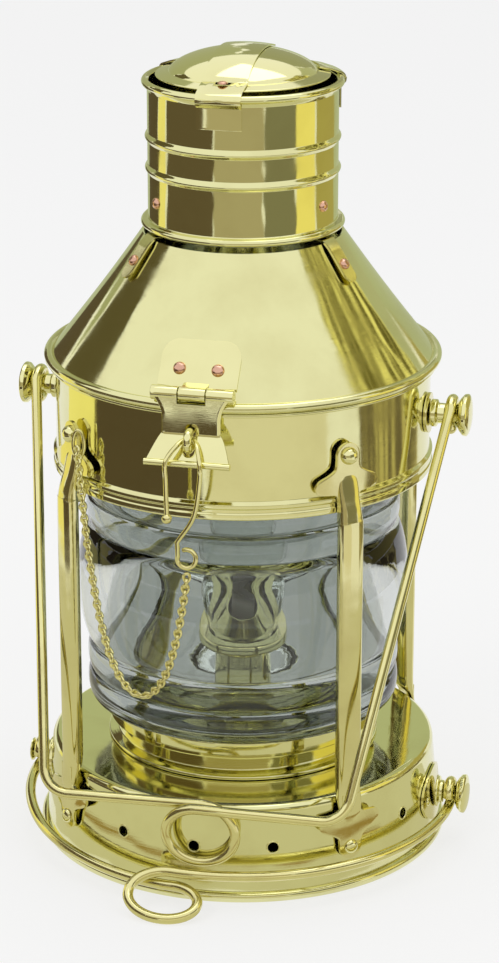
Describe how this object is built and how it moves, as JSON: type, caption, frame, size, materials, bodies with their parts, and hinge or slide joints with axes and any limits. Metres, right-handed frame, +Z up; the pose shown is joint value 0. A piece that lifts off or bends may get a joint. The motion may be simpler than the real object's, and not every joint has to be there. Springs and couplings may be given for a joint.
{
  "type": "anchor lamp",
  "caption": "Spun brass anchor lamp with a stepped glass lens behind upright guards, a hinged hood under a capped chimney, a hasp over a staple, and two wire bails",
  "frame": {"origin": "centre of the base's underside, on the floor", "axes": "+Z up along the lamp's axis, -Y towards the hasp, +X towards the side with the full turned knob on the base"},
  "size_m": [0.2239, 0.2314, 0.3868],
  "materials": {
    "brass": "polished, bright, with dark reflections",
    "copper": "copper rivet heads, dull polish",
    "glass": "clear pressed glass, faint grey green",
    "wick": "flat woven cotton"
  },
  "bodies": {
    "root": {"bail_knob_left": "brass", "bail_knob_right": "brass", "base_bottom": "brass", "base_knob_right": "brass", "base_pad_left": "brass", "base_pad_right": "brass", "base_skirt": "brass", "base_stud_left": "brass", "burner": "brass", "drum": "brass", "drum_leaf": "brass", "drum_pad_left": "brass", "drum_pad_right": "brass", "foot_rivet_1": "brass", "foot_rivet_2": "brass", "foot_rivet_3": "brass", "foot_rivet_4": "brass", "glass_chimney": "glass", "guard_1": "brass", "guard_2": "brass", "guard_3": "brass", "guard_4": "brass", "guard_bolt_1": "brass", "guard_bolt_2": "brass", "guard_bolt_3": "brass", "guard_bolt_4": "brass", "hood_hinge_pin": "brass", "lens": "glass", "lens_seat": "brass", "lock_chain": "brass", "lock_pin": "brass", "oil_font": "brass", "staple": "brass", "staple_plate": "brass"},
    "hood": {"cap": "brass", "cap_rivet": "copper", "cap_clip_1": "brass", "cap_clip_2": "brass", "cap_clip_3": "brass", "chimney": "brass", "hasp_pin": "brass", "hasp_plate": "brass", "hasp_rivet_left": "copper", "hasp_rivet_right": "copper", "hood": "brass", "hood_leaf": "brass", "strap_1": "brass", "strap_2": "brass", "strap_3": "brass", "strap_rivet_high_1": "copper", "strap_rivet_high_2": "copper", "strap_rivet_high_3": "copper", "strap_rivet_low_1": "copper", "strap_rivet_low_2": "copper", "strap_rivet_low_3": "copper"},
    "hasp": {"hasp_leaf": "brass"},
    "main_bail": {"main_bail": "brass"},
    "lower_bail": {"lower_bail": "brass"},
    "wick_wheel": {"wick_wheel": "brass"},
    "wick": {"wick": "wick"}
  },
  "joints": [
    {"name": "hood_hinge", "type": "hinge", "parent": "root", "child": "hood", "pos_m": [0, 0.0985, 0.2425], "axis": [-1, 0, 0], "range_deg": [0, 100], "deforming": ["lock_pin", "lock_chain"]},
    {"name": "hasp_hinge", "type": "hinge", "parent": "hood", "child": "hasp", "pos_m": [0, -0.0926, 0.2472], "axis": [-1, 0, 0], "range_deg": [0, 150], "deforming": ["lock_pin", "lock_chain"]},
    {"name": "main_bail_swing", "type": "hinge", "parent": "root", "child": "main_bail", "pos_m": [0, 0, 0.217], "axis": [-1, 0, 0], "range_deg": [0, 296]},
    {"name": "lower_bail_swing", "type": "hinge", "parent": "root", "child": "lower_bail", "pos_m": [0, 0, 0.023], "axis": [1, 0, 0], "range_deg": [0, 150]},
    {"name": "wick_wheel_turn", "type": "hinge", "parent": "root", "child": "wick_wheel", "pos_m": [0, 0.0028, 0.08], "axis": [1, 0, 0], "range_deg": [0, 360]},
    {"name": "wick_raise", "type": "slide", "parent": "root", "child": "wick", "axis": [0, 0, 1], "range_m": [0, 0.008]}
  ],
  "couplings": [
    {"joint": "wick_raise", "follows": "wick_wheel_turn", "m_per_rad": 0.0012732}
  ]
}
